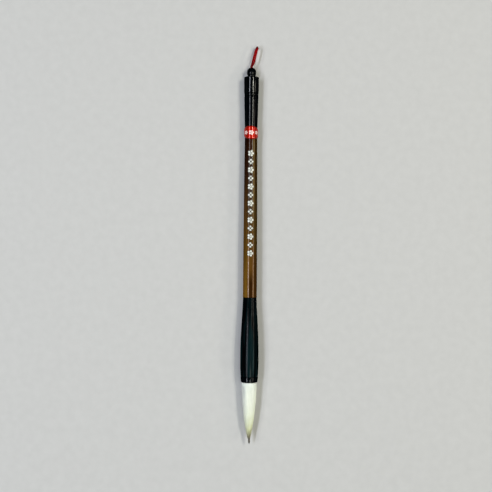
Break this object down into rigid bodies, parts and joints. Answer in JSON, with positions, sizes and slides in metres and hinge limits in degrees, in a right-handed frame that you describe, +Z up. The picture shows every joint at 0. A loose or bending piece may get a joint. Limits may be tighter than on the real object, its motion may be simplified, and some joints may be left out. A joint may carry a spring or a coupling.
{
  "type": "calligraphy brush",
  "caption": "Slim bamboo writing brush with a bell ferrule, a pointed layered hair tuft, a turned tail head with a ball knob, and a short hanging loop.",
  "frame": {"origin": "on the surface that the brush lies on, under the middle of its length from hair tip to knob", "axes": "+Y along the brush from the hair tip to the knob, +Z up from the surface, +X to the right of the label as it is read"},
  "size_m": [0.0122, 0.2642, 0.0121],
  "materials": {
    "black": "turned and polished black",
    "bamboo": "stained bamboo under clear varnish",
    "label": "coated red paper",
    "cord": "twisted red cord",
    "white_hair": "combed white goat hair",
    "dark_hair": "stiff dark-tipped hair",
    "resin": "cast rosin",
    "thread": "wound linen thread"
  },
  "bodies": {
    "brush": {"tail_knob": "black", "tail_head": "black", "spacer_ring": "black", "tail_sleeve": "black", "label": "label", "barrel": "bamboo", "ferrule": "black", "mouth_ring": "black", "root_resin": "resin", "root_thread": "thread", "mantle_hair": "white_hair", "padding_hair": "white_hair", "core_hair": "dark_hair"},
    "knot": {"loop_knot": "cord"},
    "loop": {"hanging_loop": "cord"}
  },
  "joints": [
    {"name": "loop_twist", "type": "hinge", "parent": "brush", "child": "knot", "pos_m": [0, 0.12585, 0.00605], "axis": [0, 1, 0], "continuous": true},
    {"name": "loop_swing", "type": "hinge", "parent": "knot", "child": "loop", "pos_m": [0, 0.12585, 0.00605], "axis": [0, 0, 1], "range_deg": [-50, 80]}
  ]
}
